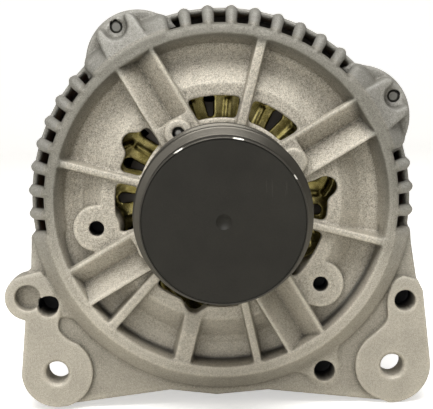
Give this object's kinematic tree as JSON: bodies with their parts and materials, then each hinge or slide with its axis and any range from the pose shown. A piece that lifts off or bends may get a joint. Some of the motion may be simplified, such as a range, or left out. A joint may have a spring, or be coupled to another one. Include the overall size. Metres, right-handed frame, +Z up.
{
  "type": "belt-driven alternator",
  "caption": "Compact belt-driven alternator: spoked cast drive-end housing with two mounting ears, grooved overrunning pulley, claw-pole rotor, fans, rectifier, brushes and rear cover.",
  "frame": {"origin": "under the middle of the alternator, on the level of the lowest ear edge", "axes": "+Z up, the shaft along Y with the pulley towards -Y, +X to the right seen from the pulley"},
  "size_m": [0.1564, 0.1748, 0.1474],
  "materials": {
    "cast_aluminium": "sand-blasted casting, matt",
    "bright_steel": "machined or plated",
    "pulley_steel": "turned, lightly oxidised",
    "lamination_steel": "dark oxide with thin varnish",
    "enamelled_copper": "varnished copper wire",
    "yellow_chromate_steel": "yellow chromate over zinc",
    "black_plastic": "moulded, fine grain",
    "seal_rubber": "moulded seal",
    "brown_board": "moulded board",
    "plate_aluminium": "pressed plate",
    "slip_ring_copper": "polished running surface",
    "brush_carbon": "pressed copper-graphite"
  },
  "bodies": {
    "housing": {"drive_end_housing": "cast_aluminium", "slip_ring_end_housing": "cast_aluminium", "front_bearing_outer_race": "bright_steel", "rear_bearing_outer_race": "bright_steel", "bearing_retainer_plate": "bright_steel", "retainer_screw_1": "bright_steel", "retainer_screw_2": "bright_steel", "retainer_screw_3": "bright_steel", "retainer_screw_4": "bright_steel", "through_bolt_1": "bright_steel", "through_bolt_2": "bright_steel", "through_bolt_3": "bright_steel", "through_bolt_4": "bright_steel", "negative_diode_1": "bright_steel", "negative_diode_2": "bright_steel", "negative_diode_3": "bright_steel", "positive_diode_1": "bright_steel", "positive_diode_2": "bright_steel", "positive_diode_3": "bright_steel", "output_stud": "bright_steel", "output_stud_nut": "bright_steel", "brush_spring_1": "bright_steel", "brush_spring_2": "bright_steel", "cover_screw_1": "bright_steel", "cover_screw_2": "bright_steel", "cover_screw_3": "bright_steel", "stator_core": "lamination_steel", "stator_winding": "enamelled_copper", "rear_cover": "black_plastic", "brush_holder": "black_plastic", "voltage_regulator": "black_plastic", "connector_socket": "black_plastic", "rectifier_terminal_board": "brown_board", "rectifier_plate_negative": "plate_aluminium", "rectifier_plate_positive": "plate_aluminium"},
    "rotor": {"rotor_shaft": "bright_steel", "claw_pole_front": "lamination_steel", "claw_pole_rear": "lamination_steel", "field_coil_bobbin": "black_plastic", "field_coil": "enamelled_copper", "front_fan": "yellow_chromate_steel", "rear_fan": "yellow_chromate_steel", "shaft_spacer": "bright_steel", "slip_ring_sleeve": "black_plastic", "slip_ring_1": "slip_ring_copper", "slip_ring_2": "slip_ring_copper", "pulley_hub": "bright_steel", "pulley_clutch": "bright_steel", "front_bearing_inner_race": "bright_steel", "rear_bearing_inner_race": "bright_steel"},
    "pulley": {"pulley_ring": "pulley_steel", "pulley_seal": "seal_rubber", "pulley_cap": "black_plastic"},
    "front_ball_cage": {"front_bearing_ball_cage": "bright_steel"},
    "rear_ball_cage": {"rear_bearing_ball_cage": "bright_steel"},
    "brush_1": {"brush_1": "brush_carbon"},
    "brush_2": {"brush_2": "brush_carbon"}
  },
  "joints": [
    {"name": "rotor_spin", "type": "hinge", "parent": "housing", "child": "rotor", "pos_m": [0.00187, -0.04, 0.07687], "axis": [0, 1, 0], "continuous": true},
    {"name": "pulley_overrun", "type": "hinge", "parent": "rotor", "child": "pulley", "pos_m": [0.00187, -0.04, 0.07687], "axis": [0, 1, 0], "continuous": true},
    {"name": "front_cage_spin", "type": "hinge", "parent": "housing", "child": "front_ball_cage", "pos_m": [0.00187, -0.04, 0.07687], "axis": [0, 1, 0], "continuous": true},
    {"name": "rear_cage_spin", "type": "hinge", "parent": "housing", "child": "rear_ball_cage", "pos_m": [0.00187, -0.04, 0.07687], "axis": [0, 1, 0], "continuous": true},
    {"name": "brush_1_slide", "type": "slide", "parent": "housing", "child": "brush_1", "axis": [0, 0, 1], "range_m": [0, 0.003], "stiffness_N_per_m": 300, "springref_m": -0.006, "deforming": ["brush_spring_1"]},
    {"name": "brush_2_slide", "type": "slide", "parent": "housing", "child": "brush_2", "axis": [0, 0, 1], "range_m": [0, 0.003], "stiffness_N_per_m": 300, "springref_m": -0.006, "deforming": ["brush_spring_2"]}
  ],
  "couplings": [
    {"joint": "front_cage_spin", "follows": "rotor_spin", "ratio": 0.3846},
    {"joint": "rear_cage_spin", "follows": "rotor_spin", "ratio": 0.4065}
  ]
}
